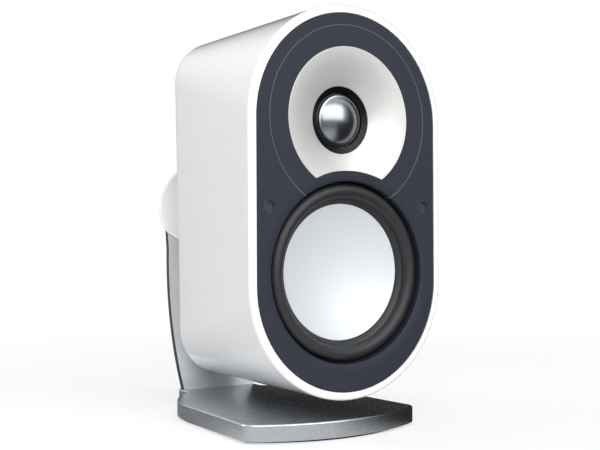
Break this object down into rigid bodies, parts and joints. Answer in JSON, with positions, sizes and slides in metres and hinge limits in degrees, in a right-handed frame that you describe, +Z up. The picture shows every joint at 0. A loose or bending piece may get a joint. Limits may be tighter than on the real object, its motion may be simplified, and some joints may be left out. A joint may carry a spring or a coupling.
{
  "type": "bookshelf speaker",
  "caption": "Small oval white bookshelf speaker with a dished metal woofer, a dome tweeter in a flared horn, and a desk stand whose rear arm tilts and turns the cabinet.",
  "frame": {"origin": "centre of the flat underside of the pad that the speaker stands on", "axes": "+Z up, -Y out of the front where the drivers are, +X to the right of someone who looks at the front"},
  "size_m": [0.1198, 0.1871, 0.2234],
  "materials": {
    "lacquered_board": "gloss white lacquer",
    "textured_plastic": "fine matt texture",
    "black_trim": "satin",
    "cone_metal": "satin silver",
    "surround_rubber": "smooth",
    "basket_steel": "black paint",
    "coil_copper": "enamelled copper wire",
    "spider_cloth": "pressed resin cloth",
    "ferrite": "ground",
    "motor_steel": "zinc plated",
    "zinc_screws": "zinc plated",
    "waveguide_pearl": "satin pearl",
    "bezel_black": "gloss black",
    "dome_metal": "satin grey anodised",
    "dome_surround": "thin moulded roll",
    "sink_aluminium": "die cast",
    "stand_silver": "satin silver paint on a casting",
    "hub_white": "satin white paint",
    "insert_brass": "knurled",
    "cap_red": "moulded",
    "cap_black": "moulded",
    "circuit_board": "pressed board",
    "capacitor_sleeve": "film wrap",
    "capacitor_can": "black sleeve",
    "resistor_body": "cast",
    "wadding": "loose fibre"
  },
  "bodies": {
    "stand": {"base_plate": "stand_silver", "base_pad": "surround_rubber", "upright": "stand_silver", "foot_screws": "zinc_screws", "friction_washer": "black_trim"},
    "swivel": {"swivel_disc": "hub_white", "wave_washer": "zinc_screws", "keeper_washer": "zinc_screws", "keeper_screw": "zinc_screws", "tilt_pin": "zinc_screws", "pin_cap": "zinc_screws"},
    "cabinet": {"cabinet_shell": "lacquered_board", "front_baffle": "textured_plastic", "grille_sockets": "black_trim", "terminal_plate": "black_trim", "woofer_gasket": "surround_rubber", "baffle_gasket": "surround_rubber", "woofer_basket": "basket_steel", "woofer_inductor": "coil_copper", "tweeter_inductor": "coil_copper", "woofer_magnet": "ferrite", "tweeter_magnet": "ferrite", "woofer_top_plate": "motor_steel", "woofer_yoke": "motor_steel", "tweeter_top_plate": "motor_steel", "tweeter_yoke": "motor_steel", "basket_screws": "zinc_screws", "tweeter_screws": "zinc_screws", "terminal_screws": "zinc_screws", "bracket_screws": "zinc_screws", "waveguide": "waveguide_pearl", "tweeter_bezel": "bezel_black", "tweeter_heat_sink": "sink_aluminium", "cabinet_bracket": "hub_white", "bracket_inserts": "insert_brass", "terminal_nuts": "insert_brass", "red_post": "insert_brass", "black_post": "insert_brass", "crossover_board": "circuit_board", "tweeter_capacitor": "capacitor_sleeve", "woofer_capacitor": "capacitor_can", "resistor": "resistor_body", "damping_wadding": "wadding"},
    "woofer": {"woofer_cone": "cone_metal", "woofer_surround": "surround_rubber", "woofer_voice_coil": "coil_copper", "woofer_spider": "spider_cloth"},
    "tweeter": {"tweeter_dome": "dome_metal", "tweeter_voice_coil": "coil_copper", "tweeter_surround": "dome_surround"},
    "red_clamp": {"red_clamp_washer": "insert_brass"},
    "red_knob": {"red_cap": "cap_red"},
    "black_clamp": {"black_clamp_washer": "insert_brass"},
    "black_knob": {"black_cap": "cap_black"}
  },
  "joints": [
    {"name": "hub_turn", "type": "hinge", "parent": "stand", "child": "swivel", "pos_m": [0, 0.08835, 0.1229], "axis": [0, 1, 0], "range_deg": [-90, 90]},
    {"name": "hub_tilt", "type": "hinge", "parent": "swivel", "child": "cabinet", "pos_m": [0, 0.08835, 0.1229], "axis": [1, 0, 0], "range_deg": [-15, 2]},
    {"name": "woofer_stroke", "type": "slide", "parent": "cabinet", "child": "woofer", "axis": [0, 1, 0], "range_m": [-0.004, 0.004], "stiffness_N_per_m": 1500, "deforming": ["woofer_surround", "woofer_spider"]},
    {"name": "tweeter_stroke", "type": "slide", "parent": "cabinet", "child": "tweeter", "axis": [0, 1, 0], "range_m": [-0.0004, 0.0004], "stiffness_N_per_m": 4000, "deforming": ["tweeter_surround"]},
    {"name": "red_clamp_slide", "type": "slide", "parent": "cabinet", "child": "red_clamp", "axis": [0, 1, 0], "range_m": [0, 0.003]},
    {"name": "red_knob_turn", "type": "hinge", "parent": "red_clamp", "child": "red_knob", "pos_m": [0, 0.07435, 0.1824], "axis": [0, 1, 0], "range_deg": [0, 1080]},
    {"name": "black_clamp_slide", "type": "slide", "parent": "cabinet", "child": "black_clamp", "axis": [0, 1, 0], "range_m": [0, 0.003]},
    {"name": "black_knob_turn", "type": "hinge", "parent": "black_clamp", "child": "black_knob", "pos_m": [0, 0.07435, 0.1634], "axis": [0, 1, 0], "range_deg": [0, 1080]}
  ],
  "couplings": [
    {"joint": "red_knob_turn", "follows": "red_clamp_slide", "rad_per_m": 6283.2},
    {"joint": "black_knob_turn", "follows": "black_clamp_slide", "rad_per_m": 6283.2}
  ]
}
